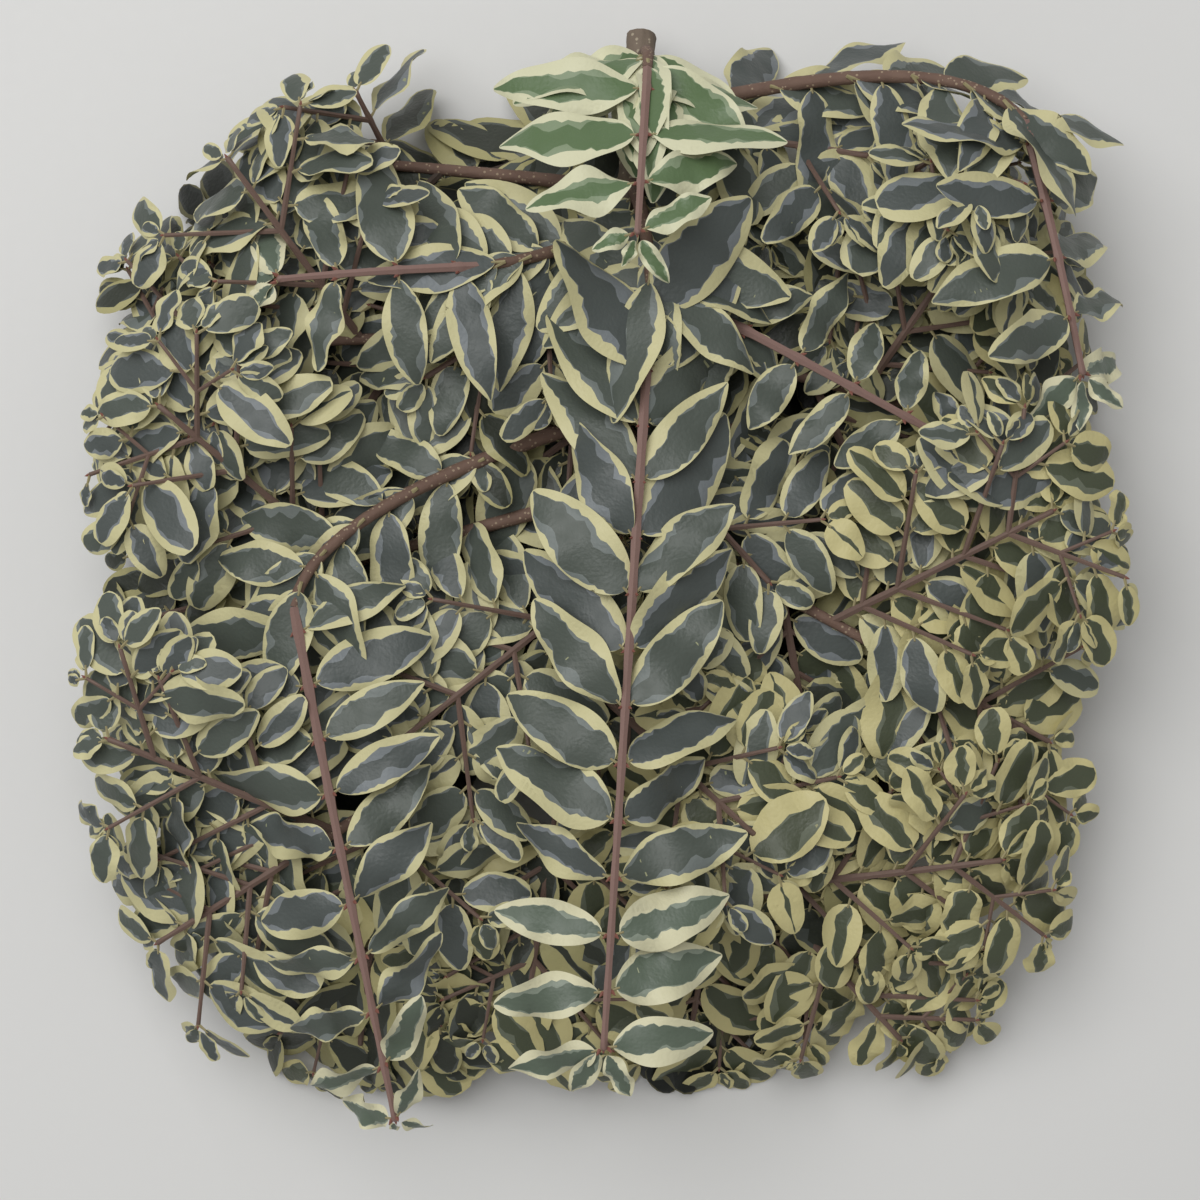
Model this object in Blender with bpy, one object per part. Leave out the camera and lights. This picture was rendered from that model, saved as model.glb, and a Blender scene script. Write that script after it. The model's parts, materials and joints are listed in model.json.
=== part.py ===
"""A leafy bough of variegated privet, as cut, lying on level ground.

Metres, +Z up. The bough lies along Y with its cut end at +Y, and its long front shoot on top.
The woody stem carries opposite side boughs, as every privet does, and the boughs carry leafy masses.
A mass is one stem with side twigs and opposite leaves, all fused into one solid. It keeps clear of
every limb and of every other mass: a twig or a leaf that would touch one of them is left out.
"""

import math
import random
from collections import namedtuple

import bmesh
import bpy
from mathutils import Matrix, Vector
from mathutils.bvhtree import BVHTree

MM = 0.001
UP = Vector((0, 0, 1))

# Driving dimensions of the wood
CUT_DIAMETER = 9.0 * MM
STEM_TIP_DIAMETER = 5.0 * MM
BOUGH_DIAMETER = 4.6 * MM
BOUGH_TIP_DIAMETER = 3.0 * MM
SHOOT_DIAMETER = 3.0 * MM
SHOOT_TIP_DIAMETER = 2.0 * MM
TWIG_DIAMETER = 2.2 * MM
TWIG_TIP_DIAMETER = 1.6 * MM
TWIG_LENGTH = 32 * MM
TWIG_ANGLE = 52
INTERNODE = 15.5 * MM
FIRST_NODE = 7 * MM

# Driving dimensions of the leaves
LONG_LEAF = 43 * MM
INNER_LEAF = 31 * MM
SMALL_LEAF = 23 * MM
LEAF_WIDTH_SHARE = 0.44
LEAF_KEEL_SHARE = 0.02
LEAF_FOLD = 0.1
LEAF_ROOT_SUNK = 0.4 * MM
TIP_LEAF_LOSS = 0.34
TWIG_LEAF_SHARE = 0.86

# The crown's outline: a rounded square on plan, and a height
CROWN_HALF_WIDTH = 152 * MM
CROWN_HALF_LENGTH = 150 * MM
CROWN_HEIGHT = 104 * MM
CROWN_SQUARENESS = 4.0
STEM_MARGIN = 16 * MM
TWIG_MARGIN = 8 * MM
LOWEST_STEM = 7 * MM

# How foliage spreads: its tilt outwards at the crown's edge, and the spread of each seeded choice
EDGE_TILT = 0.7
LEAN_SPREAD = 9
ROLL_SPREAD = 26
LEAST_DROOP, MOST_DROOP = -8, 22
LEAST_CURL, MOST_CURL = 0.04, 0.16
TWIG_SPREAD = 8
TWIG_RISE_SPREAD = 0.3
SHORTEST, LONGEST = 0.86, 1.12

# Clear space that two neighbouring solids keep, and the steps in which a stem's foot backs off to find it
CLEARANCE = 0.35 * MM
BACK_OFF = 0.15 * MM
BACK_OFF_STEPS = 64

# A leaf that would reach below the ground is tipped up in steps of so many degrees
LIFT_STEP = 7
LIFT_STEPS = 14

# The share of a leaf's foot, and of a twig's, that may cross the stem that it grows on
ROOTED_SHARE = 0.2

# The main stem: its cut end, the point that its arch leans towards, and its tip
STEM_CUT = Vector((12, 164, 16)) * MM
STEM_BEND = Vector((6, 60, 46)) * MM
STEM_TIP = Vector((-12, -58, 34)) * MM

# Each pair of side boughs: its share along the stem, its angle from the stem, its length and its rise
BOUGH_PAIRS = (
    (0.22, 92, 82 * MM, 10 * MM),
    (0.41, 82, 86 * MM, -6 * MM),
    (0.62, 68, 88 * MM, 8 * MM),
    (0.85, 50, 94 * MM, -8 * MM),
)
BOUGH_ARCH = 7 * MM

# The masses that a bough carries: the share along it, the angle from it, the length and the rise of each
FAN = {
    "tip": (1.0, 0, 56 * MM, -4 * MM),
    "upper": (0.84, 56, 66 * MM, 20 * MM),
    "lower": (0.66, -50, 74 * MM, -30 * MM),
}
FAN_TWIGS = (0.3, 0.6)

# The inner masses grow on the main stem itself, in pairs: the share and the angle of each pair
INNER_PAIRS = ((0.13, 84), (0.31, 52), (0.51, 48), (0.74, 44))
INNER_LENGTH = 66 * MM
INNER_RISE = 18 * MM
INNER_TWIGS = (0.4, 0.7)
MASS_ARCH = 5 * MM
MASS_LEANS = {1: (62, 44), -1: (62, 44)}

# A mass whose stem would cross its neighbours tries again, turned by so many degrees and lifted by so much
TRIES = (
    (0, 0),
    (0, 7 * MM),
    (0, -7 * MM),
    (14, 0),
    (-14, 0),
    (14, -12 * MM),
    (-14, 12 * MM),
    (24, 9 * MM),
    (-24, -9 * MM),
)

# The front shoots: the share of the stem where the bough that carries each one leaves it, the point that
# the bough's arch leans towards, the shoot's foot and its tip, all in millimetres, its full leaf length, and
# how far the leaves on its right and left, as seen along it from its foot, turn from the way that it grows:
# at its foot and at its tip
Front = namedtuple("Front", "stem_share bough_bend foot tip leaf right_lean left_lean")
FRONT_SHOOTS = {
    "long": Front(0.21, (13, 106, 62), (14, 84, 66), (1, -121, 74), LONG_LEAF, (136, 70), (134, 104)),
    "top": Front(0.05, (14, 158, 48), (13, 146, 60), (10, 98, 84), 40 * MM, (100, 62), (96, 116)),
    "right": Front(0.12, (98, 158, 50), (117, 132, 58), (132, 62, 64), 37 * MM, (112, 68), (120, 100)),
    "left": Front(0.52, (-80, 26, 56), (-84, -2, 62), (-56, -142, 64), 34 * MM, (108, 86), (106, 132)),
    "slanting": Front(0.32, (18, 88, 50), (34, 78, 54), (114, 34, 58), 27 * MM, (100, 116), (80, 130)),
    "upright": Front(0.26, (-8, 96, 54), (-32, 92, 58), (-88, 88, 62), 36 * MM, (78, 68), (110, 50)),
}
FRONT_ARCH = 7 * MM

# How finely the solids are cut, and where along a leaf its sections stand
STEM_SIDES, STEM_RINGS = 10, 11
BOUGH_SIDES, BOUGH_RINGS = 6, 6
TWIG_SIDES, FRONT_RINGS, MASS_RINGS, TWIG_RINGS = 3, 8, 4, 2
INNER_SECTIONS = (0.46,)
FRONT_SECTIONS = (0.26, 0.66)

# Materials: colour and roughness
OLD_BARK = ((0.20, 0.16, 0.13), 0.85)
YOUNG_BARK = ((0.19, 0.11, 0.09), 0.7)
LEAFAGE = ((0.20, 0.22, 0.14), 0.5)
FRESH_LEAFAGE = ((0.26, 0.29, 0.16), 0.45)


class Space:
    """What is already built, so that nothing new is grown through it."""

    def __init__(self):
        self.pieces = []

    def add(self, shape):
        self.pieces.append((*box_of(shape), BVHTree.FromBMesh(shape)))

    def clear_of(self, shape):
        """True if the surface of a test shape crosses nothing here."""
        low, high = box_of(shape)
        tree = None
        for other_low, other_high, other in self.pieces:
            if all(other_low[k] <= high[k] and low[k] <= other_high[k] for k in range(3)):
                tree = tree or BVHTree.FromBMesh(shape)
                if tree.overlap(other):
                    return False
        return True


def box_of(shape):
    points = [vertex.co for vertex in shape.verts]
    low = tuple(min(point[k] for point in points) for k in range(3))
    high = tuple(max(point[k] for point in points) for k in range(3))
    return low, high


def clear_scene():
    for thing in list(bpy.data.objects):
        bpy.data.objects.remove(thing, do_unlink=True)


def finish(name, colour, roughness):
    """A plain material with the part's own colour."""
    made = bpy.data.materials.new(name)
    made.use_nodes = True
    shader = made.node_tree.nodes["Principled BSDF"]
    shader.inputs["Base Color"].default_value = (*colour, 1)
    shader.inputs["Roughness"].default_value = roughness
    shader.inputs["Metallic"].default_value = 0
    return made


def blend(pair, share):
    return pair[0] + (pair[1] - pair[0]) * share


def turned(way, degrees):
    return Matrix.Rotation(math.radians(degrees), 3, "Z") @ way


# A stem's route: a quadratic curve from start to end that leans towards bend
Arch = namedtuple("Arch", "start bend end")


def point_on(arch, share):
    return arch.start.lerp(arch.bend, share).lerp(arch.bend.lerp(arch.end, share), share)


def direction_on(arch, share):
    return ((arch.bend - arch.start) * (1 - share) + (arch.end - arch.bend) * share).normalized()


def arched(start, end, lift):
    return Arch(start, start.lerp(end, 0.5) + UP * lift, end)


def tube(arch, diameters, rings, sides, grow=0.0):
    """A closed tapering tube along an arch, with flat cuts for ends. grow makes it larger all round."""
    shape = bmesh.new()
    sections = []
    for i in range(rings):
        share = i / (rings - 1)
        along = direction_on(arch, share)
        end_growth = grow * ((i == rings - 1) - (i == 0))
        centre = point_on(arch, share) + along * end_growth
        across = along.cross(UP).normalized()
        over = across.cross(along)
        radius = blend(diameters, share) / 2 + grow
        turns = [2 * math.pi * (k + 0.5) / sides for k in range(sides)]
        ring = [centre + radius * (across * math.sin(turn) + over * math.cos(turn)) for turn in turns]
        sections.append([shape.verts.new(point) for point in ring])
    close_shape(shape, sections)
    return shape


def close_shape(shape, sections):
    """Faces between neighbouring sections of one bmesh, and over its ends. A section may be a single point."""
    for low, high in zip(sections, sections[1:]):
        for k in range(max(len(low), len(high))):
            ring = [low[k % len(low)], low[(k - 1) % len(low)], high[(k - 1) % len(high)], high[k % len(high)]]
            shape.faces.new(dict.fromkeys(ring))
    for end in (sections[0], sections[-1]):
        if len(end) > 1:
            shape.faces.new(end)
    bmesh.ops.triangulate(shape, faces=shape.faces)
    bmesh.ops.recalc_face_normals(shape, faces=shape.faces)


def half_width(share):
    """A privet leaf's half width at a share of its length, as a share of the widest."""
    return 1.97 * share**0.55 * (1 - share) ** 0.62


# Where a leaf is rooted, the way that it points, the way across it, the way that it faces, and its sizes
Leaf = namedtuple("Leaf", "base along across normal length width curl")


def leaf_shape(leaf, sections, grow=0.0, root=0.0):
    """A leaf blade as a closed bmesh: flat above, keeled below, and pointed at both its ends.
    grow makes it larger all round, and root leaves out that share of its foot."""
    shape = bmesh.new()
    foot = leaf.base + leaf.along * (leaf.length * root - LEAF_ROOT_SUNK - grow)
    rows = [[shape.verts.new(foot)]]
    for share in sections:
        wide = leaf.width / 2 * half_width(share)
        middle = leaf.base + leaf.along * (leaf.length * share) - leaf.normal * (leaf.curl * leaf.length * share**2)
        side = leaf.across * (wide + grow)
        lift = leaf.normal * (2 * LEAF_FOLD * wide + grow)
        keel = leaf.normal * (LEAF_KEEL_SHARE * leaf.length + grow)
        row = (middle + side + lift, middle - side + lift, middle - keel)
        rows.append([shape.verts.new(point) for point in row])
    tip = leaf.base + leaf.along * (leaf.length + grow) - leaf.normal * (leaf.curl * leaf.length)
    rows.append([shape.verts.new(tip)])
    close_shape(shape, rows)
    return shape


def in_crown(point, margin=0.0):
    """True if a point lies in the crown's outline on plan, at least margin from its edge."""
    across = abs(point.x) / (CROWN_HALF_WIDTH - margin)
    along = abs(point.y) / (CROWN_HALF_LENGTH - margin)
    return across**CROWN_SQUARENESS + along**CROWN_SQUARENESS <= 1 and point.z <= CROWN_HEIGHT


def facing(point):
    """The way that foliage faces: up to the light, and outwards near the crown's edge."""
    out = Vector((point.x / CROWN_HALF_WIDTH, point.y / CROWN_HALF_LENGTH, 0))
    return (UP + out * (EDGE_TILT * out.length**2)).normalized()


def inner_leaf_length(point):
    """Leaves are smaller towards the crown's lower right corner."""
    corner = (point.x / CROWN_HALF_WIDTH - point.y / CROWN_HALF_LENGTH) / 1.2
    return blend((INNER_LEAF, SMALL_LEAF), min(max(corner, 0), 1))


def place_leaf(base, grows, side, lean, length, dice):
    """A leaf on one side of a stem. Its lean is its angle, in degrees, from the way that the stem grows."""
    face = facing(base)
    sideways = grows.cross(face).normalized() * side
    forward = face.cross(sideways).normalized() * side
    turn = math.radians(lean + dice.uniform(-LEAN_SPREAD, LEAN_SPREAD))
    level = (forward * math.cos(turn) + sideways * math.sin(turn)).normalized()
    droop = math.radians(dice.uniform(LEAST_DROOP, MOST_DROOP))
    normal = (face * math.cos(droop) + level * math.sin(droop)).normalized()
    along = (level * math.cos(droop) - face * math.sin(droop)).normalized()
    roll = math.radians(dice.uniform(-ROLL_SPREAD, ROLL_SPREAD))
    normal = Matrix.Rotation(roll, 3, along) @ normal
    length *= dice.uniform(SHORTEST, LONGEST)
    width = length * LEAF_WIDTH_SHARE * dice.uniform(SHORTEST, LONGEST)
    curl = dice.uniform(LEAST_CURL, MOST_CURL)
    return Leaf(base, along, normal.cross(along), normal, length, width, curl)


def lift_off_ground(leaf, sections):
    """The same leaf, tipped up until no part of it is below the ground, or None."""
    for _ in range(LIFT_STEPS):
        shape = leaf_shape(leaf, sections)
        lowest = min(vertex.co.z for vertex in shape.verts)
        shape.free()
        if lowest >= 0:
            return leaf
        turn = Matrix.Rotation(math.radians(LIFT_STEP), 3, leaf.along.cross(UP).normalized())
        leaf = leaf._replace(along=turn @ leaf.along, across=turn @ leaf.across, normal=turn @ leaf.normal)
    return None


def grow_leaf(leaf, sections, space, own, shapes):
    """Adds a leaf to a mass if it stays over the ground, in the crown, and clear of all that is built."""
    leaf = lift_off_ground(leaf, sections)
    if leaf is None:
        return
    tested = leaf_shape(leaf, sections, grow=CLEARANCE)
    blade = leaf_shape(leaf, sections, root=ROOTED_SHARE)
    inside = all(in_crown(vertex.co) for vertex in blade.verts)
    if inside and space.clear_of(tested) and own.clear_of(blade):
        made = leaf_shape(leaf, sections)
        shapes.append(made)
        own.add(made)
    tested.free()
    blade.free()


def leafy_stem(name, arch, leaf_length, leans, sections, space, own, shapes):
    """Opposite pairs of leaves along one stem, shorter towards its tip."""
    reach = (arch.end - arch.start).length
    gaps = max(1, round((reach - FIRST_NODE) / INTERNODE))
    for i in range(gaps + 1):
        share = (FIRST_NODE + (reach - FIRST_NODE) * i / gaps) / reach
        base = point_on(arch, share)
        grows = direction_on(arch, share)
        for side in (1, -1):
            dice = random.Random(f"{name} {i} {side}")
            length = leaf_length * (1 - TIP_LEAF_LOSS * share**3)
            leaf = place_leaf(base, grows, side, blend(leans[side], share), length, dice)
            grow_leaf(leaf, sections, space, own, shapes)


def twig_route(name, i, side, arch, share):
    """The route of one side twig of a mass's stem."""
    dice = random.Random(f"{name} twig {i} {side}")
    foot = point_on(arch, share)
    grows = direction_on(arch, share)
    sideways = grows.cross(facing(foot)).normalized() * side
    turn = math.radians(TWIG_ANGLE + dice.uniform(-TWIG_SPREAD, TWIG_SPREAD))
    rise = UP * dice.uniform(-TWIG_RISE_SPREAD, TWIG_RISE_SPREAD)
    way = (grows * math.cos(turn) + sideways * math.sin(turn) + rise).normalized()
    tip = foot + way * TWIG_LENGTH * dice.uniform(SHORTEST, LONGEST)
    tip.z = max(tip.z, LOWEST_STEM)
    return arched(foot, tip, 0)


def grow_mass(name, stem, leaf_length, leans, twig_shares, sections, space):
    """One mass: its stem, then side twigs with their leaves, then its own leaves. Returns its shapes."""
    arch, shape = stem
    own = Space()
    own.add(shape)
    shapes = [shape]
    sizes = (TWIG_DIAMETER, TWIG_TIP_DIAMETER)
    for i, share in enumerate(twig_shares):
        for side in (1, -1):
            route = twig_route(name, i, side, arch, share)
            beyond_foot = route._replace(start=point_on(route, ROOTED_SHARE))
            tested = tube(beyond_foot, sizes, TWIG_RINGS, TWIG_SIDES, CLEARANCE)
            if in_crown(route.end, TWIG_MARGIN) and space.clear_of(tested) and own.clear_of(tested):
                twig = tube(route, sizes, TWIG_RINGS, TWIG_SIDES)
                shapes.append(twig)
                small = leaf_length * TWIG_LEAF_SHARE
                leafy_stem(f"{name} {i} {side}", route, small, leans, sections, space, own, shapes)
                own.add(twig)
            tested.free()
    leafy_stem(name, arch, leaf_length, leans, sections, space, own, shapes)
    return shapes


def seat(arch, diameters, rings, sides, space):
    """A stem whose foot backs off along its own route until it stands clear: its route and shape, or None."""
    way = direction_on(arch, 0)
    for step in range(BACK_OFF_STEPS):
        route = arch._replace(start=arch.start + way * (step * BACK_OFF))
        tested = tube(route, diameters, rings, sides, CLEARANCE)
        free = space.clear_of(tested)
        tested.free()
        if free:
            return route, tube(route, diameters, rings, sides)
    return None


def stem_end(foot, way, length, rise):
    """The end of a stem that grows one way, short enough for its tip to stay in the crown, or None."""
    for tenths in range(10, 2, -1):
        end = foot + way * (length * tenths / 10) + UP * rise
        end.z = min(max(end.z, LOWEST_STEM), CROWN_HEIGHT - STEM_MARGIN)
        if in_crown(end, STEM_MARGIN):
            return end
    return None


def mass_stem(foot, grows, angle, length, rise, space):
    """The stem of a mass, turned or lifted a little where its first way is taken, or None."""
    way = Vector((grows.x, grows.y, 0)).normalized()
    for more_angle, more_rise in TRIES:
        end = stem_end(foot, turned(way, angle + more_angle), length, rise + more_rise)
        if end is None:
            continue
        route = arched(foot, end, MASS_ARCH)
        stem = seat(route, (SHOOT_DIAMETER, SHOOT_TIP_DIAMETER), MASS_RINGS, TWIG_SIDES, space)
        if stem:
            return stem
    return None


def grow_limbs(space):
    """The main stem, its side boughs and the boughs of the front shoots. Returns shapes and routes by name."""
    stem = Arch(STEM_CUT, STEM_BEND, STEM_TIP)
    shapes = {"main_stem": tube(stem, (CUT_DIAMETER, STEM_TIP_DIAMETER), STEM_RINGS, STEM_SIDES)}
    space.add(shapes["main_stem"])
    routes = {"end": stem}
    wanted = {}
    for level, (share, angle, length, rise) in enumerate(BOUGH_PAIRS, 1):
        root = point_on(stem, share)
        grows = direction_on(stem, share)
        grows.z = 0
        for side, word in ((1, "right"), (-1, "left")):
            tip = root + turned(grows.normalized(), angle * side) * length + UP * rise * side
            routes[f"{word}_{level}"] = arched(root, tip, BOUGH_ARCH)
            wanted[f"bough_{word}_{level}"] = routes[f"{word}_{level}"]
    for name, front in FRONT_SHOOTS.items():
        root = point_on(stem, front.stem_share)
        wanted[f"bough_front_{name}"] = Arch(root, Vector(front.bough_bend) * MM, Vector(front.foot) * MM)
    for name, route in wanted.items():
        seated = seat(route, (BOUGH_DIAMETER, BOUGH_TIP_DIAMETER), BOUGH_RINGS, BOUGH_SIDES, space)
        if seated is None:
            raise ValueError(f"{name} has no clear way")
        shapes[name] = seated[1]
        space.add(seated[1])
    return shapes, routes


def grow_masses(routes, space):
    """The front shoots, then the fans on the boughs, then the inner pairs. Returns their shapes by name."""
    masses = {}

    def keep(name, stem, *rule):
        if stem is None:
            print(name, "left out: its stem has no clear way")
            return
        masses[name] = grow_mass(name, stem, *rule, space)
        for shape in masses[name]:
            space.add(shape)

    for name, front in FRONT_SHOOTS.items():
        route = arched(Vector(front.foot) * MM, Vector(front.tip) * MM, FRONT_ARCH)
        stem = seat(route, (SHOOT_DIAMETER, SHOOT_TIP_DIAMETER), FRONT_RINGS, TWIG_SIDES, space)
        leans = {1: front.right_lean, -1: front.left_lean}
        keep(f"shoot_{name}", stem, front.leaf, leans, (), FRONT_SECTIONS)

    for name, route in routes.items():
        for word, (share, angle, length, rise) in FAN.items():
            foot = point_on(route, share)
            turn = -angle if name.startswith("left") else angle
            stem = mass_stem(foot, direction_on(route, share), turn, length, rise, space)
            keep(f"mass_{name}_{word}", stem, inner_leaf_length(foot), MASS_LEANS, FAN_TWIGS, INNER_SECTIONS)

    for level, (share, angle) in enumerate(INNER_PAIRS, 1):
        foot = point_on(routes["end"], share)
        grows = direction_on(routes["end"], share)
        for side, word in ((1, "right"), (-1, "left")):
            rise = INNER_RISE if (level % 2) == (side == 1) else -INNER_RISE
            stem = mass_stem(foot, grows, angle * side, INNER_LENGTH, rise, space)
            rule = (inner_leaf_length(foot), MASS_LEANS, INNER_TWIGS, INNER_SECTIONS)
            keep(f"mass_inner_{word}_{level}", stem, *rule)
    return masses


def solid(name, shape, material):
    """A named object from a bmesh."""
    mesh = bpy.data.meshes.new(name)
    shape.to_mesh(mesh)
    mesh.materials.append(material)
    return bpy.data.objects.new(name, mesh)


def fuse(name, shapes, material):
    """One named solid from a stem's shape and the shapes of all that is rooted in it."""
    stem = solid(name, shapes[0], material)
    bpy.context.scene.collection.objects.link(stem)
    rooted = bpy.data.collections.new(name + " rooted")
    bpy.context.scene.collection.children.link(rooted)
    for i, shape in enumerate(shapes[1:]):
        rooted.objects.link(solid(f"{name} rooted {i}", shape, material))
    union = stem.modifiers.new("Union", "BOOLEAN")
    union.operation = "UNION"
    union.operand_type = "COLLECTION"
    union.collection = rooted
    union.solver = "MANIFOLD"
    bpy.context.view_layer.objects.active = stem
    bpy.ops.object.modifier_apply(modifier=union.name)
    for helper in list(rooted.objects):
        bpy.data.objects.remove(helper, do_unlink=True)
    bpy.data.collections.remove(rooted)
    keep_outer_shell(stem.data)


def keep_outer_shell(mesh):
    """Keeps a mesh's largest shell alone, so that a hollow sealed by the fusing is filled."""
    shape = bmesh.new()
    shape.from_mesh(mesh)
    left = set(shape.faces)
    shells = []
    while left:
        shell = set()
        edge_of_search = [left.pop()]
        while edge_of_search:
            face = edge_of_search.pop()
            shell.add(face)
            near = {other for edge in face.edges for other in edge.link_faces} & left
            left -= near
            edge_of_search.extend(near)
        shells.append(shell)
    largest = max(shells, key=len)
    others = [face for shell in shells if shell is not largest for face in shell]
    bmesh.ops.delete(shape, geom=others, context="FACES")
    loose = [vertex for vertex in shape.verts if not vertex.link_faces]
    bmesh.ops.delete(shape, geom=loose, context="VERTS")
    shape.to_mesh(mesh)
    shape.free()


def stand_on_origin():
    """Moves everything so that the origin is the middle of the bottom of the overall box."""
    meshes = [thing.data for thing in bpy.context.scene.collection.objects]
    points = [vertex.co for mesh in meshes for vertex in mesh.vertices]
    low = [min(point[k] for point in points) for k in range(3)]
    high = [max(point[k] for point in points) for k in range(3)]
    middle = Vector(((low[0] + high[0]) / 2, (low[1] + high[1]) / 2, low[2]))
    for mesh in meshes:
        mesh.transform(Matrix.Translation(-middle))
    print("cut end at", [round(k / MM, 2) for k in STEM_CUT - middle], "mm")


def build():
    clear_scene()
    old_bark = finish("old_bark", *OLD_BARK)
    young_bark = finish("young_bark", *YOUNG_BARK)
    leafage = finish("leafage", *LEAFAGE)
    fresh_leafage = finish("fresh_leafage", *FRESH_LEAFAGE)
    space = Space()
    limbs, routes = grow_limbs(space)
    masses = grow_masses(routes, space)
    for name, shape in limbs.items():
        bark = old_bark if name == "main_stem" else young_bark
        bpy.context.scene.collection.objects.link(solid(name, shape, bark))
    for name, shapes in masses.items():
        fuse(name, shapes, fresh_leafage if name.startswith("shoot") else leafage)
    stand_on_origin()
    print(len(limbs), "limbs,", len(masses), "masses,", sum(map(len, masses.values())), "shapes in them")


build()
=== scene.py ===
# %% [markdown]
# This lesson dresses a cut bough of variegated privet, a hedge shrub with small opposite leaves that are
# grey green in the middle and cream round the edge. Its plain solids are loaded first and stay fixed.
# All that is made below grows on them, in the same metres, and replaces them one by one.

# %% Load the fixed model
import json
import math
import random
from collections import namedtuple

import bpy
import numpy as np
from mathutils import Matrix, Vector, noise


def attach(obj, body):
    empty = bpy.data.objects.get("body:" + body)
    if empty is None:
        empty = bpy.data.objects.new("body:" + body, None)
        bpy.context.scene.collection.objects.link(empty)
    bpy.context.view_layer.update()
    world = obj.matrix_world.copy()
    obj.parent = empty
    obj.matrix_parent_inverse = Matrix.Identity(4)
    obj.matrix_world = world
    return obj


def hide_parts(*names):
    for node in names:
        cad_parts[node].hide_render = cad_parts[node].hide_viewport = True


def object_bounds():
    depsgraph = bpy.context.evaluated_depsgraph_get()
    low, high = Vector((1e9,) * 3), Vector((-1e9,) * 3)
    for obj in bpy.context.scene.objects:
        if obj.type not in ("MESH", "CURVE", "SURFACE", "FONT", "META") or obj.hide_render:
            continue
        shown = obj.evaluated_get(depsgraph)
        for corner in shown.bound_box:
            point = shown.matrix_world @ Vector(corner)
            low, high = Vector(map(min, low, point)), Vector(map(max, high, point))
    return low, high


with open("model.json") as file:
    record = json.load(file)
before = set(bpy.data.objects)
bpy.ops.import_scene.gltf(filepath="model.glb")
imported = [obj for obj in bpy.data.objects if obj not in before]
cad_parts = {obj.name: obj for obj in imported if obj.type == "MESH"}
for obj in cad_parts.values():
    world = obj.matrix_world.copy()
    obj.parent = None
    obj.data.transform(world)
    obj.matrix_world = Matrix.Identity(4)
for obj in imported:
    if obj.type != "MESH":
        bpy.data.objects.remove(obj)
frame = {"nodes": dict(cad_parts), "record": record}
cad_low, cad_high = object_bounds()
print("solids:", len(frame["nodes"]), "from", tuple(cad_low), "to", tuple(cad_high))

# %% [markdown]
# The bough was drawn round its own reference point and then set down with its box centred. Its cut end is a
# named place in the record, so the difference between the two places is how far it was moved.

# %% Find how far the bough was moved
MM = 0.001
UP = Vector((0, 0, 1))
STEM_CUT = Vector((12, 164, 16)) * MM
STEM_BEND = Vector((6, 60, 46)) * MM
STEM_TIP = Vector((-12, -58, 34)) * MM

cut_end = next(mount for mount in frame["record"]["mounts"] if mount["name"] == "cut_end")
shift = Vector(cut_end["pos_m"]) - STEM_CUT
print("moved by", [round(k / MM, 2) for k in shift], "mm")

# %% [markdown]
# A bough that lies on a table is seen from straight above. A long lens, far off, keeps its leaves in
# proportion. The distance follows from the width that the picture takes in at the height of the front shoots.

# %% Camera straight above
PICTURE_WIDTH = 324 * MM
FRONT_LEVEL = 74 * MM
LENS = 85
SENSOR = 36

camera = bpy.data.objects.new("camera", bpy.data.cameras.new("camera"))
camera.data.lens = LENS
camera.data.sensor_width = SENSOR
camera.data.clip_start = 0.01
camera.data.clip_end = 50
camera.location = (shift.x, shift.y, FRONT_LEVEL + PICTURE_WIDTH * LENS / SENSOR)
bpy.context.scene.collection.objects.link(camera)
bpy.context.scene.camera = camera
bpy.context.scene.view_settings.view_transform = "Standard"
print("camera at", round(camera.location.z, 3), "m")

# %% [markdown]
# Leaves, twigs and bark share small effects: a surface that is a little uneven, and a gloss that comes and
# goes. Each effect is a shader node group with its own inputs, so that every finish sets its own amounts.

# %% A helper for node groups
def new_group(name, inputs, outputs):
    """A shader node group with float inputs, given as name and value, and outputs, given as name and kind."""
    tree = bpy.data.node_groups.new(name, "ShaderNodeTree")
    for label, value in inputs.items():
        socket = tree.interface.new_socket(name=label, in_out="INPUT", socket_type="NodeSocketFloat")
        socket.default_value = value
    for label, kind in outputs.items():
        tree.interface.new_socket(name=label, in_out="OUTPUT", socket_type=kind)
    return tree, tree.nodes.new("NodeGroupInput"), tree.nodes.new("NodeGroupOutput")


def maths(tree, operation, first, second):
    """A Math node. Each operand is a socket or a number."""
    node = tree.nodes.new("ShaderNodeMath")
    node.operation = operation
    for socket, value in zip(node.inputs, (first, second)):
        if isinstance(value, (int, float)):
            socket.default_value = value
        else:
            tree.links.new(value, socket)
    return node.outputs[0]


def speckle(tree, place, scale, detail):
    """A noise texture over the object's own coordinates."""
    node = tree.nodes.new("ShaderNodeTexNoise")
    node.inputs["Detail"].default_value = detail
    tree.links.new(place.outputs["Object"], node.inputs["Vector"])
    if isinstance(scale, (int, float)):
        node.inputs["Scale"].default_value = scale
    else:
        tree.links.new(scale, node.inputs["Scale"])
    return node.outputs[0]

# %% [markdown]
# A privet leaf is smooth but not flat: a fine net of veins sinks into it, and its wax is uneven. The group
# gives a height for a Bump node and a roughness that wanders. Painting these would need an image, and a
# group of noises works at any distance.

# %% The leaf skin group
VEIN_DETAIL = 1.0
WAX_SCALE = 260.0
WAX_DETAIL = 0.0
NOISE_MIDDLE = 0.5

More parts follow.
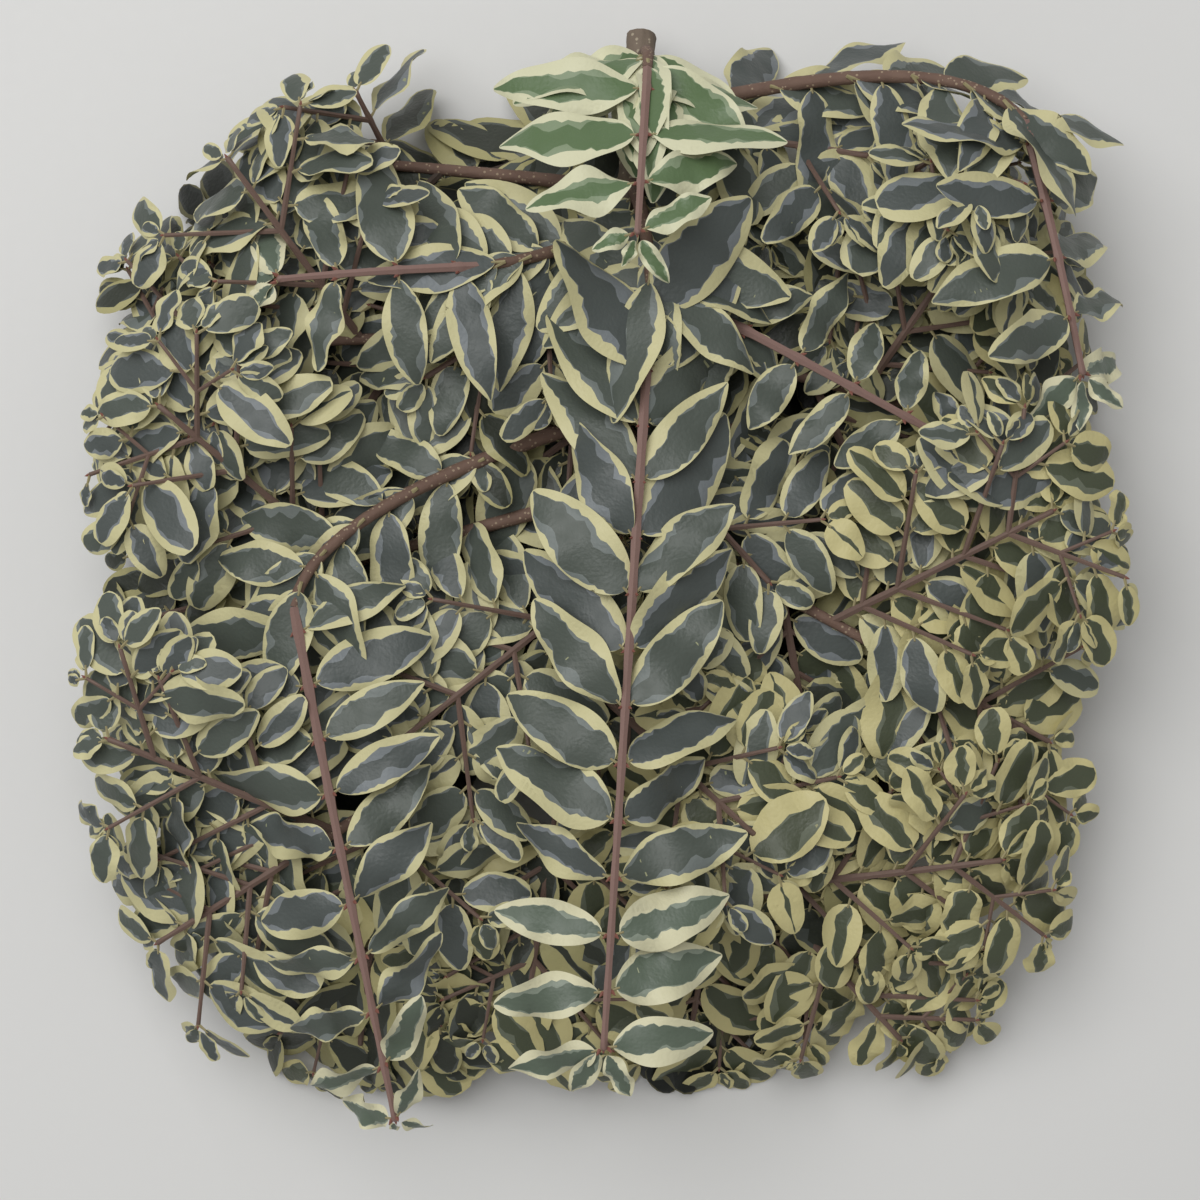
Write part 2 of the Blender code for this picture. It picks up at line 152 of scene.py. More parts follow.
leaf_skin, given, made = new_group(
    "Leaf skin",
    {"Vein Scale": 900.0, "Vein Depth": 1.0, "Roughness": 0.5, "Unevenness": 0.25},
    {"Roughness": "NodeSocketFloat", "Height": "NodeSocketFloat"},
)
place = leaf_skin.nodes.new("ShaderNodeTexCoord")
veins = speckle(leaf_skin, place, given.outputs["Vein Scale"], VEIN_DETAIL)
height = maths(leaf_skin, "MULTIPLY", veins, given.outputs["Vein Depth"])
leaf_skin.links.new(height, made.inputs["Height"])
wax = speckle(leaf_skin, place, WAX_SCALE, WAX_DETAIL)
uneven = maths(leaf_skin, "SUBTRACT", wax, NOISE_MIDDLE)
uneven = maths(leaf_skin, "MULTIPLY", uneven, given.outputs["Unevenness"])
roughness = maths(leaf_skin, "ADD", uneven, given.outputs["Roughness"])
leaf_skin.links.new(roughness, made.inputs["Roughness"])
print("group", leaf_skin.name, "with", len(leaf_skin.nodes), "nodes")

# %% [markdown]
# Young privet wood is red brown and old wood grey brown, both dotted with pale breathing pores. The bark
# group gives a mask of the pores, a mask of the weathered grey film between them, and a height for both.

# %% The bark group
PORE_RADIUS = 0.22
PORE_HEIGHT = 0.6
FILM_DETAIL = 5.0
GRAIN_SCALE = 1500.0
GRAIN_DETAIL = 3.0

bark_skin, given, made = new_group(
    "Bark skin",
    {"Pore Scale": 900.0, "Film Scale": 140.0},
    {"Pores": "NodeSocketFloat", "Film": "NodeSocketFloat", "Height": "NodeSocketFloat"},
)
place = bark_skin.nodes.new("ShaderNodeTexCoord")
dots = bark_skin.nodes.new("ShaderNodeTexVoronoi")
bark_skin.links.new(place.outputs["Object"], dots.inputs["Vector"])
bark_skin.links.new(given.outputs["Pore Scale"], dots.inputs["Scale"])
pores = maths(bark_skin, "LESS_THAN", dots.outputs["Distance"], PORE_RADIUS)
film = speckle(bark_skin, place, given.outputs["Film Scale"], FILM_DETAIL)
grain = speckle(bark_skin, place, GRAIN_SCALE, GRAIN_DETAIL)
height = maths(bark_skin, "ADD", maths(bark_skin, "MULTIPLY", pores, PORE_HEIGHT), grain)
bark_skin.links.new(pores, made.inputs["Pores"])
bark_skin.links.new(film, made.inputs["Film"])
bark_skin.links.new(height, made.inputs["Height"])
print("group", bark_skin.name, "with", len(bark_skin.nodes), "nodes")

# %% [markdown]
# Each finish starts from the same shader. Colours are written as they look on a screen, from 0 to 255, and
# turned into the linear numbers that the shader wants.

# %% Helpers for finishes
def from_screen(colour):
    """Linear red, green, blue and alpha from a screen colour of three numbers up to 255.
    The numbers are those of the curve that screens use."""
    shares = [k / 255 for k in colour]
    return (*[k / 12.92 if k <= 0.04045 else ((k + 0.055) / 1.055) ** 2.4 for k in shares], 1.0)


def start_finish(name, group, **amounts):
    """A material with its shader and one copy of a group, whose height goes through a Bump node."""
    material = bpy.data.materials.new(name)
    material.use_nodes = True
    tree = material.node_tree
    shader = tree.nodes["Principled BSDF"]
    effect = tree.nodes.new("ShaderNodeGroup")
    effect.node_tree = group
    for label, value in amounts.items():
        effect.inputs[label.replace("_", " ")].default_value = value
    bump = tree.nodes.new("ShaderNodeBump")
    tree.links.new(effect.outputs["Height"], bump.inputs["Height"])
    tree.links.new(bump.outputs["Normal"], shader.inputs["Normal"])
    return material, tree, shader, effect, bump

# %% [markdown]
# A leaf's patches keep their place on it, so each patch is its own material with one plain base colour, and
# the mesh decides where it goes. Every age of leaf is a set of four: the dark middle, the blue grey patches
# beside it, the cream edge and the underside. Two of the sets are darker copies with painted shade, for leaves
# low in the crown.

# %% Leaf finishes
PATCHES = ("middle", "patch", "edge", "under")
LEAF_AGES = {
    "mature": ((84, 91, 84), (117, 124, 121), (208, 202, 156), (160, 162, 126)),
    "blue": ((82, 88, 86), (122, 128, 131), (204, 198, 152), (156, 160, 126)),
    # The next two sets are darker copies of the leaf colours, painted shade and half shade for leaves low in
    # the crown, where old leaves also stay.
    "dusky": ((58, 62, 54), (84, 89, 84), (176, 170, 122), (128, 130, 96)),
    "deep": ((28, 31, 27), (40, 43, 40), (92, 89, 64), (62, 64, 48)),
    "fresh": ((96, 118, 82), (134, 150, 120), (216, 215, 182), (172, 180, 148)),
    "tip": ((96, 108, 94), (136, 146, 132), (218, 214, 180), (172, 178, 146)),
    "small": ((78, 84, 66), (106, 112, 96), (204, 195, 142), (158, 156, 118)),
}
LEAF_ROUGHNESS = {"middle": 0.42, "patch": 0.46, "edge": 0.52, "under": 0.62}
LEAF_SPECULAR = 0.38
VEIN_STRENGTH = 0.35
VEIN_RELIEF = 0.4 * MM


def leaf_finish(age, patch, colour):
    material, tree, shader, effect, bump = start_finish(
        f"leaf_{age}_{patch}", leaf_skin, Roughness=LEAF_ROUGHNESS[patch]
    )
    shader.inputs["Base Color"].default_value = from_screen(colour)
    shader.inputs["Specular IOR Level"].default_value = LEAF_SPECULAR
    bump.inputs["Strength"].default_value = VEIN_STRENGTH
    bump.inputs["Distance"].default_value = VEIN_RELIEF
    tree.links.new(effect.outputs["Roughness"], shader.inputs["Roughness"])
    return material


leaf_materials = {
    (age, patch): leaf_finish(age, patch, colour)
    for age, colours in LEAF_AGES.items()
    for patch, colour in zip(PATCHES, colours)
}
print("leaf finishes:", len(leaf_materials))

# %% [markdown]
# Bark colour changes all over the surface, so its base colour does come from nodes: two bark browns mixed by
# the film mask, and pale pores on top. Twigs are too thin for that and take one brown each, under the leaf's
# own skin, which is as smooth as theirs.

# %% Wood finishes
BARK_ROUGHNESS = 0.78
BARK_STRENGTH = 0.5
BARK_RELIEF = 0.3 * MM
TWIG_ROUGHNESS = 0.6
TWIG_GRAIN = 1100.0
TWIG_STRENGTH = 0.4
TWIG_RELIEF = 0.2 * MM


def mixed(tree, mask, first, second):
    """A Mix node for colours. Each colour is a socket or a linear colour."""
    node = tree.nodes.new("ShaderNodeMix")
    node.data_type = "RGBA"
    tree.links.new(mask, node.inputs["Factor"])
    for label, value in (("A", first), ("B", second)):
        socket = next(s for s in node.inputs if s.name == label and s.type == "RGBA")
        if isinstance(value, tuple):
            socket.default_value = value
        else:
            tree.links.new(value, socket)
    return next(s for s in node.outputs if s.type == "RGBA")


def bark_finish(name, dark, pale, pore, pore_scale):
    material, tree, shader, effect, bump = start_finish(name, bark_skin, Pore_Scale=pore_scale)
    brown = mixed(tree, effect.outputs["Film"], from_screen(dark), from_screen(pale))
    dotted = mixed(tree, effect.outputs["Pores"], brown, from_screen(pore))
    tree.links.new(dotted, shader.inputs["Base Color"])
    shader.inputs["Roughness"].default_value = BARK_ROUGHNESS
    bump.inputs["Strength"].default_value = BARK_STRENGTH
    bump.inputs["Distance"].default_value = BARK_RELIEF
    return material


def twig_finish(name, colour):
    material, tree, shader, effect, bump = start_finish(
        name, leaf_skin, Roughness=TWIG_ROUGHNESS, Vein_Scale=TWIG_GRAIN
    )
    shader.inputs["Base Color"].default_value = from_screen(colour)
    bump.inputs["Strength"].default_value = TWIG_STRENGTH
    bump.inputs["Distance"].default_value = TWIG_RELIEF
    tree.links.new(effect.outputs["Roughness"], shader.inputs["Roughness"])
    return material


Bark = namedtuple("Bark", "dark pale pore pore_scale")
BARKS = {
    "old_bark": Bark((92, 78, 68), (138, 124, 108), (168, 156, 136), 420.0),
    "young_bark": Bark((96, 72, 62), (126, 102, 88), (158, 138, 116), 620.0),
    "cut_wood": Bark((206, 186, 146), (190, 164, 120), (172, 140, 96), 1500.0),
}
old_bark, young_bark, cut_wood = [bark_finish(name, *bark) for name, bark in BARKS.items()]
WOOD = {
    "shoot": twig_finish("shoot_bark", (136, 108, 100)),
    "twig": twig_finish("twig_bark", (112, 90, 80)),
    # Low twigs take a darker bark: painted shade.
    "deep": twig_finish("deep_twig_bark", (70, 58, 50)),
    "petiole": twig_finish("petiole_skin", (156, 146, 108)),
    "bud": twig_finish("bud_scales", (132, 84, 72)),
}
print("wood finishes:", len(BARKS) + len(WOOD))

# %% [markdown]
# Thousands of small leaves must be joined into a few meshes. Each shape is a block of arrays, its points, its
# faces and the finish of each face, and a store keeps the blocks until one mesh is made of them at the end.

# %% A store of shapes that becomes one mesh
class Store:
    def __init__(self):
        self.points = []
        self.corners = []
        self.sizes = []
        self.finishes = []
        self.count = 0

    def add(self, points, faces, finishes):
        """points is an array, faces a list of arrays of one face size each, and finishes a list beside it."""
        for block, finish in zip(faces, finishes):
            self.corners.append((block + self.count).ravel())
            self.sizes.append(np.full(len(block), block.shape[1]))
            self.finishes.append(np.broadcast_to(finish, len(block)))
        self.points.append(points)
        self.count += len(points)

    def piece(self, name, materials, crease):
        """The joined mesh as an object. Faces that meet at more than crease degrees keep a sharp edge."""
        sizes = np.concatenate(self.sizes)
        finishes = np.concatenate(self.finishes)
        used, slots = np.unique(finishes, return_inverse=True)
        mesh = bpy.data.meshes.new(name)
        mesh.vertices.add(self.count)
        mesh.vertices.foreach_set("co", np.concatenate(self.points).astype(np.float32).ravel())
        corners = np.concatenate(self.corners)
        mesh.loops.add(len(corners))
        mesh.loops.foreach_set("vertex_index", corners.astype(np.int32))
        mesh.polygons.add(len(sizes))
        mesh.polygons.foreach_set("loop_start", (np.cumsum(sizes) - sizes).astype(np.int32))
        for k in used:
            mesh.materials.append(materials[k])
        mesh.polygons.foreach_set("material_index", slots.astype(np.int32))
        mesh.update(calc_edges=True)
        mesh.shade_smooth()
        mesh.set_sharp_from_angle(angle=math.radians(crease))
        thing = bpy.data.objects.new(name, mesh)
        bpy.context.scene.collection.objects.link(thing)
        triangles = int((sizes - 2).sum())
        print(name, triangles, "triangles,", len(used), "finishes")
        return thing


def rings_to_faces(rings, sides):
    """Quads between neighbouring rings, and a fan of triangles from each end ring to a point of its own.
    The points are the first end, the rings in order and the last end."""
    quads = []
    for i in range(rings - 1):
        for k in range(sides):
            low = 1 + i * sides
            turn = (k + 1) % sides
            quads.append((low + k, low + turn, low + sides + turn, low + sides + k))
    last = 1 + (rings - 1) * sides
    foot = [(0, 1 + (k + 1) % sides, 1 + k) for k in range(sides)]
    tip = [(last + sides, last + k, last + (k + 1) % sides) for k in range(sides)]
    return np.array(quads), np.array(foot), np.array(tip)

# %% [markdown]
# The bough grows by one rule, the same as its solids do: stems are arches, leaves stand on them in opposite
# pairs, and each leaf's turn, droop, roll and size come from a seed in its own name. Writing the rule again
# here, with the same seeds, keeps every leaf in the space of the solid that it replaces.

# %% Arches
Arch = namedtuple("Arch", "start bend end")


def blend(pair, share):
    return pair[0] + (pair[1] - pair[0]) * share


def turned(way, degrees):
    return Matrix.Rotation(math.radians(degrees), 3, "Z") @ way


def point_on(arch, share):
    return arch.start.lerp(arch.bend, share).lerp(arch.bend.lerp(arch.end, share), share)


def direction_on(arch, share):
    return ((arch.bend - arch.start) * (1 - share) + (arch.end - arch.bend) * share).normalized()


def arched(start, end, lift):
    return Arch(start, start.lerp(end, 0.5) + UP * lift, end)

# %% [markdown]
# The photo's picture is nearly square and full of leaves to its edge. So the crown keeps to a square with
# round corners, and past its edge the leaves bend over and face outwards, as they do round any cut bough.

# %% The crown and the way that leaves face in it
CROWN_HALF_WIDTH = 152 * MM
CROWN_HALF_LENGTH = 150 * MM
CROWN_HEIGHT = 104 * MM
CROWN_SQUARENESS = 4.0
STEM_MARGIN = 16 * MM
TWIG_MARGIN = 8 * MM
LOWEST_STEM = 7 * MM
EDGE_TILT = 0.7
INNER_LEAF = 31 * MM
SMALL_LEAF = 23 * MM
CORNER_SPREAD = 1.2


def in_crown(point, margin=0.0):
    across = abs(point.x) / (CROWN_HALF_WIDTH - margin)
    along = abs(point.y) / (CROWN_HALF_LENGTH - margin)
    return across**CROWN_SQUARENESS + along**CROWN_SQUARENESS <= 1 and point.z <= CROWN_HEIGHT


def facing(point):
    """Foliage faces up to the light, and outwards near the crown's edge."""
    out = Vector((point.x / CROWN_HALF_WIDTH, point.y / CROWN_HALF_LENGTH, 0))
    return (UP + out * (EDGE_TILT * out.length**2)).normalized()


def corner_share(point):
    """0 over most of the crown, rising to 1 in its lower right corner, where the leaves are small."""
    slant = point.x / CROWN_HALF_WIDTH - point.y / CROWN_HALF_LENGTH
    return min(max(slant / CORNER_SPREAD, 0), 1)


def inner_leaf_length(point):
    return blend((INNER_LEAF, SMALL_LEAF), corner_share(point))


print("crown:", round(2 * CROWN_HALF_WIDTH / MM), "by", round(2 * CROWN_HALF_LENGTH / MM), "mm")

# %% [markdown]
# A privet leaf is about twice as long as it is wide, or a little more. It leans away from the stem, droops
# and rolls, each leaf by its own amount. Its place is worked out here, apart from its shape, so that a leaf
# with no room can be moved before it is made.

# %% Where a leaf stands and how it lies
LEAN_SPREAD = 9
ROLL_SPREAD = 26
LEAST_DROOP, MOST_DROOP = -8, 22
LEAST_CURL, MOST_CURL = 0.04, 0.16
SHORTEST, LONGEST = 0.86, 1.12
LEAF_WIDTH_SHARE = 0.44

Leaf = namedtuple("Leaf", "base along across normal length width curl")


def place_leaf(base, grows, side, lean, length, dice):
    """A leaf on one side of a stem. Its lean is its angle, in degrees, from the way that the stem grows."""
    face = facing(base)
    sideways = grows.cross(face).normalized() * side
    forward = face.cross(sideways).normalized() * side
    turn = math.radians(lean + dice.uniform(-LEAN_SPREAD, LEAN_SPREAD))
    level = (forward * math.cos(turn) + sideways * math.sin(turn)).normalized()
    droop = math.radians(dice.uniform(LEAST_DROOP, MOST_DROOP))
    normal = (face * math.cos(droop) + level * math.sin(droop)).normalized()
    along = (level * math.cos(droop) - face * math.sin(droop)).normalized()
    roll = math.radians(dice.uniform(-ROLL_SPREAD, ROLL_SPREAD))
    normal = Matrix.Rotation(roll, 3, along) @ normal
    length *= dice.uniform(SHORTEST, LONGEST)
    width = length * LEAF_WIDTH_SHARE * dice.uniform(SHORTEST, LONGEST)
    curl = dice.uniform(LEAST_CURL, MOST_CURL)
    return Leaf(base, along, normal.cross(along), normal, length, width, curl)

# %% [markdown]
# A blade could be a flat card with a picture of the leaf on it. Here it is a thin closed lens instead, with
# rows of points across it from foot to tip and a point wherever a patch of colour ends. The line between grey
# green and cream is toothed, so it moves from row to row.

# %% Lines on a leaf
TOP_COLUMNS = 7
COLUMNS = 12
TURN = 2 * math.pi
ROW_EVENNESS = 0.45
EDGE_WAVE = 0.09
EDGE_WAVES = (1.2, 2.4)
CLOSING_STARTS = (0.78, 0.9)
CLOSING_REACH = 0.16
CLOSING_SHARE = 0.75
CLOSING_POWER = 1.5
LEAST_EDGE, MOST_EDGE = 0.05, 0.95
SLOW_WAVES = (0.7, 1.6)
QUICK_WAVES = (2.5, 4.5)
SLOW_DRIFT = 0.26
QUICK_DRIFT = 0.2
PATCH_SHARES = (0.02, 0.3)
MOST_PATCH = 0.8
LEAST_PATCH = 0.015
PATCH_TEETH = 0.7
LEAST_MIDDLE = 0.2
LEAST_MIDDLE_SHARE = 0.6

# margins has two numbers, left and right, as outline has, for foot and tip. waves has the size of the waves in
# the leaf's margin, how many there are, and where they start.
Look = namedtuple("Look", "age rows margins teeth outline breadth waves")


def rows_along(count):
    """Shares from foot to tip, closer together at both ends."""
    steps = np.linspace(0, 1, count)
    return ROW_EVENNESS * steps + (1 - ROW_EVENNESS) * (1 - np.cos(math.pi * steps)) / 2


def wave_along(u, waves, rolls):
    return np.sin(TURN * (rolls.uniform(*waves) * u + rolls.uniform()))


def edge_line(u, margin, teeth, rolls):
    """Where the cream edge begins in each row, as a share of the half width. It closes at the tip."""
    line = margin + EDGE_WAVE * wave_along(u, EDGE_WAVES, rolls) + teeth * rolls.uniform(-1, 1, len(u))
    closing = np.clip((u - rolls.uniform(*CLOSING_STARTS)) / CLOSING_REACH, 0, 1)
    return np.clip(line * (1 - CLOSING_SHARE * closing**CLOSING_POWER), LEAST_EDGE, MOST_EDGE)


def patch_line(u, edge, teeth, rolls):
    """Where the dark middle ends and the blue grey patch begins: it drifts in and out along the leaf."""
    drift = SLOW_DRIFT * wave_along(u, SLOW_WAVES, rolls) + QUICK_DRIFT * wave_along(u, QUICK_WAVES, rolls)
    taken = np.clip(rolls.uniform(*PATCH_SHARES) + drift, 0, MOST_PATCH)
    line = edge * (1 - taken) + PATCH_TEETH * teeth * rolls.uniform(-1, 1, len(u))
    return np.clip(line, np.minimum(LEAST_MIDDLE, LEAST_MIDDLE_SHARE * edge), edge - LEAST_PATCH)


def columns_across(u, look, rolls):
    """The points of each row, as shares of the half width: over the top, and back along the underside."""
    left, right = [], []
    for lines, margin in zip((left, right), look.margins):
        edge = edge_line(u, margin, look.teeth, rolls)
        lines.extend([patch_line(u, edge, look.teeth, rolls), edge, np.ones(len(u))])
    top = [-line for line in reversed(left)] + [np.zeros(len(u))] + right
    return np.stack(top + top[-2:0:-1], axis=1)

# %% [markdown]
# The rows then get their shape. The two halves fold up a little along the midrib, the margin waves, and the
# underside hangs about a third of a millimetre below. Last the whole blade curls down, sways and twists along
# its axis, so that no two leaves catch the light alike.

# %% The shape of a blade
THICKNESS = 0.36 * MM
UNDER_DEPTH = np.array([0.6, 0.85, 1.0, 0.85, 0.6])
LEAST_THICKNESS = 0.25
PETIOLE = 2.4 * MM
LEAST_FOLD = 0.12
FOLD_OF_CURL = 0.5
CUP = 0.22
WAVE_OFFSET = 0.31
TIP_HOOKS = (-0.02, 0.1)
HOOK_START = 0.7
TIP_REACH = 0.35
MOST_TWIST = math.radians(24)
MOST_SWAY = 0.13


def heights_across(leaf, look, u, half, across):
    """How far each point lies over the blade's axis."""
    spread = np.abs(across)
    size, turns, phase = look.waves
    wavy = np.sin(TURN * (turns * u[:, None] + phase + WAVE_OFFSET * np.sign(across)))
    fold = LEAST_FOLD + FOLD_OF_CURL * leaf.curl
    lift = half[:, None] * (fold * spread - CUP * spread**2 + size * spread**2 * wavy)
    thinning = np.clip(half / half.max(), LEAST_THICKNESS, 1)
    lift[:, TOP_COLUMNS:] -= THICKNESS * UNDER_DEPTH * thinning[:, None]
    return lift


def axis_of(leaf, u, rolls):
    """The blade's axis, which curls down, hooks at its tip and sways to one side."""
    reach = leaf.length - PETIOLE
    hook = np.clip((u - HOOK_START) / (1 - HOOK_START), 0, 1) ** 2
    drop = -leaf.curl * leaf.length * u**2 - rolls.uniform(*TIP_HOOKS) * reach * hook
    sway = rolls.uniform(-MOST_SWAY, MOST_SWAY) * reach * u**2
    axis = np.array(leaf.base) + np.outer(PETIOLE + reach * u, leaf.along)
    return axis + np.outer(drop, leaf.normal) + np.outer(sway, leaf.across)


def blade(leaf, look, rolls):
    """The points of one leaf."""
    u = rows_along(look.rows + 2)[1:-1]
    foot_power, tip_power = look.outline
    outline = u**foot_power * (1 - u) ** tip_power
    half = leaf.width * look.breadth / 2 * outline / outline.max()
    across = columns_across(u, look, rolls)
    wide = across * half[:, None]
    lift = heights_across(leaf, look, u, half, across)
    axis = axis_of(leaf, u, rolls)
    twist = rolls.uniform(-MOST_TWIST, MOST_TWIST) * u
    across_rows = np.outer(np.cos(twist), leaf.across) + np.outer(np.sin(twist), leaf.normal)
    normal_rows = np.outer(np.cos(twist), leaf.normal) - np.outer(np.sin(twist), leaf.across)
    rows = axis[:, None] + wide[..., None] * across_rows[:, None] + lift[..., None] * normal_rows[:, None]
    foot = np.array(leaf.base + leaf.along * PETIOLE)
    tip = axis[-1] + (axis[-1] - axis[-2]) * TIP_REACH
    return np.concatenate([[foot], rows.reshape(-1, 3), [tip]])

# %% [markdown]
# Every face of a blade belongs to one patch. The rows all have the same columns, so the patches are one short
# list that repeats, and blades with the same count of rows share their faces.

# %% The patches of a blade
MIDDLE, PATCH, EDGE, UNDER = range(len(PATCHES))
ROW_PATCHES = [EDGE, PATCH, MIDDLE, MIDDLE, PATCH, EDGE] + [EDGE, UNDER, UNDER, UNDER, UNDER, EDGE]
FOOT_PATCHES = [EDGE, EDGE, MIDDLE, MIDDLE, EDGE, EDGE] + [EDGE, UNDER, UNDER, UNDER, UNDER, EDGE]
TIP_PATCHES = [EDGE] * 6 + [EDGE, UNDER, UNDER, UNDER, UNDER, EDGE]
BLADE_FACES = {}


def blade_faces(rows):
    if rows not in BLADE_FACES:
        BLADE_FACES[rows] = rings_to_faces(rows, COLUMNS)
    return BLADE_FACES[rows]


def blade_patches(rows):
    """The patch of each face, as an index into PATCHES: the quads row by row, then the two fans."""
    return np.tile(ROW_PATCHES, rows - 1), np.array(FOOT_PATCHES), np.array(TIP_PATCHES)


AGES = list(LEAF_AGES)
MATERIALS = [leaf_materials[age, patch] for age in AGES for patch in PATCHES]
print("a blade has", COLUMNS, "faces in a row, and leaves have", len(MATERIALS), "finishes")

# %% [markdown]
# A real leaf that meets the table top bends up from it. Here a leaf that would dip under the ground is tipped
# up step by step, and one that would leave the solids' box is made smaller, until it fits.

# %% Keeping a leaf over the ground and inside the crown
GROUND = 0.15 * MM
SHORTENED = 0.92
SHORTEST_LEAF = 7 * MM
LIFT_STEP = 7
LIFT_STEPS = 14
BOX_LOW = np.array(cad_low) - np.array(shift)
BOX_HIGH = np.array(cad_high) - np.array(shift)


def tipped_up(leaf):
    turn = Matrix.Rotation(math.radians(LIFT_STEP), 3, leaf.along.cross(UP).normalized())
    return leaf._replace(along=turn @ leaf.along, across=turn @ leaf.across, normal=turn @ leaf.normal)


def grow_blade(leaf, look, seed, store):
    """Adds a leaf to a store, tipped up off the ground and shortened inside the crown's box, and returns it.
    A leaf with no room is left out."""
    for _ in range(LIFT_STEPS):
        points = blade(leaf, look, np.random.default_rng(seed))
        if points[:, 2].min() < GROUND:
            leaf = tipped_up(leaf)
        elif (points < BOX_LOW).any() or (points > BOX_HIGH).any():
            leaf = leaf._replace(length=leaf.length * SHORTENED, width=leaf.width * SHORTENED)
        else:
            break
    else:
        return None
    if leaf.length < SHORTEST_LEAF:
        return None
    first = AGES.index(look.age) * len(PATCHES)
    store.add(points, blade_faces(look.rows), [first + kinds for kinds in blade_patches(look.rows)])
    return leaf

# %% [markdown]
# Twigs, shoots and leaf stalks are all tapering tubes along an arch. A tube's rings carry a radius of their
# own, so the same function makes the swelling where each pair of leaves stands.

# %% Tubes
TWIG_SIDES = 6
SWELLING = 0.22
SWELLING_REACH = 0.012


def tube(arch, radii, sides, store, finish, cap=0.0):
    """A closed tube along an arch with one radius for each ring. cap lets its tip stand out, in radii."""
    rings = len(radii)
    shares = np.linspace(0, 1, rings)
    turns = np.linspace(0, TURN, sides, endpoint=False)
    points = [np.array(arch.start)]
    for share, radius in zip(shares, radii):
        along = direction_on(arch, share)
        across = along.cross(UP).normalized()
        over = across.cross(along)
        ring = np.outer(np.cos(turns), over) + np.outer(np.sin(turns), -across)
        points.append(np.array(point_on(arch, share)) + radius * ring)
    points.append(np.array(arch.end + direction_on(arch, 1) * (radii[-1] * cap)))
    store.add(np.vstack(points), rings_to_faces(rings, sides), [finish] * 3)


def joint_radii(diameters, rings, nodes):
    """Radii that taper from one diameter to the other, with a swelling at each node's share."""
    shares = np.linspace(0, 1, rings)
    radii = blend(diameters, shares) / 2
    reach = SWELLING_REACH + 0.5 / rings
    for node in nodes:
        radii = radii * (1 + SWELLING * np.exp(-((shares - node) / reach) ** 2))
    return radii


WOOD_MATERIALS = list(WOOD.values())
WOOD_INDEX = {name: k for k, name in enumerate(WOOD)}
twigs = Store()
stalks = Store()
buds = Store()

# %% [markdown]
# A leaf joins its stem by a short stalk that runs on under the blade, and on the front shoots a small bud
# sits above it. Both are a few millimetres long at most, so short tubes of five sides are enough.

# %% Leaf stalks and buds
BUD_SIDES = 5
BUD_RADII = (0.26, 0.3, 0.2, 0.07)
STALK_SIDES = 5
STALK_RADII = (0.525 * MM, 0.42 * MM, 0.294 * MM)
STALK_SUNK = 0.3 * MM
STALK_UNDER_BLADE = 1.2 * MM
STALK_SAG = 0.1 * MM
STALK_CAP = 0.5


def grow_bud(base, way, size):
    route = Arch(base, base + way * (size / 2), base + way * size)
    tube(route, [share * size for share in BUD_RADII], BUD_SIDES, buds, WOOD_INDEX["bud"], cap=1.0)


def grow_stalk(leaf):
    foot = leaf.base - leaf.along * STALK_SUNK
    end = leaf.base + leaf.along * (PETIOLE + STALK_UNDER_BLADE)
    route = Arch(foot, foot.lerp(end, 0.5) - leaf.normal * STALK_SAG, end)
    tube(route, STALK_RADII, STALK_SIDES, stalks, WOOD_INDEX["petiole"], STALK_CAP)

# %% [markdown]
# Opposite pairs make a privet a privet. A leafy stem gets a pair at every node, with smaller leaves towards
# its tip, and a last pair that is still unfolding round the end bud. Leaves near a stem's foot don't lean as
# those near its tip do, so each side has one lean for its foot and one for its tip.

# %% Leafy stems
FIRST_NODE = 7 * MM
TIP_LEAF_LOSS = 0.34
BUD_LENGTH = 1.9 * MM
BUD_OUT = 1.1 * MM
END_BUD_SHARE = 0.8
TIP_PAIR_SHARE = 0.42
TIP_PAIR_LEAN = 24
LEAN_DELAY = {"shoot_long": 3.4}
SEED_BITS = 32

Stem = namedtuple("Stem", "name arch diameters leaf_length leans internode wood rings")


def leafy_stem(stem, look_for, store):
    """A stem with its leaves, and how many it got. look_for gives a leaf's look from its share of the way
    along the stem, its base and its dice."""
    arch = stem.arch
    reach = (arch.end - arch.start).length
    gaps = max(1, round((reach - FIRST_NODE) / stem.internode))
    nodes = [(FIRST_NODE + (reach - FIRST_NODE) * i / gaps) / reach for i in range(gaps + 1)]
    radii = joint_radii(stem.diameters, stem.rings, nodes)
    tube(arch, radii, TWIG_SIDES, twigs, WOOD_INDEX[stem.wood], cap=1.0)
    grown = 0
    for i, share in enumerate(nodes):
        base = point_on(arch, share)
        grows = direction_on(arch, share)
        for side in (1, -1):
            dice = random.Random(f"{stem.name} {i} {side}")
            length = stem.leaf_length * (1 - TIP_LEAF_LOSS * share**3)
            lean = blend(stem.leans[side], share ** LEAN_DELAY.get(stem.name, 1))
            leaf = place_leaf(base, grows, side, lean, length, dice)
            leaf = grow_blade(leaf, look_for(share, base, dice), dice.getrandbits(SEED_BITS), store)
            if leaf:
                grown += 1
                grow_stalk(leaf)
                if stem.wood == "shoot":
                    way = (leaf.along + grows + facing(base)).normalized()
                    grow_bud(base + leaf.along * BUD_OUT, way, BUD_LENGTH)
    grow_tip(stem, look_for, store)
    return grown


def grow_tip(stem, look_for, store):
    grows = direction_on(stem.arch, 1)
    length = stem.leaf_length * TIP_PAIR_SHARE
    for side in (1, -1):
        dice = random.Random(f"{stem.name} tip {side}")
        leaf = place_leaf(stem.arch.end, grows, side, TIP_PAIR_LEAN, length, dice)
        grow_blade(leaf, look_for(1.0, stem.arch.end, dice), dice.getrandbits(SEED_BITS), store)
    grow_bud(stem.arch.end, grows, BUD_LENGTH * END_BUD_SHARE)

# %% [markdown]
# The main stem and the side boughs come first. Their routes are the solids' own, so that all that grows on
# them starts at the right place. A pair of boughs leaves the stem at one share of its length, at one angle,
# and one bough of the pair rises as much as the other sinks.

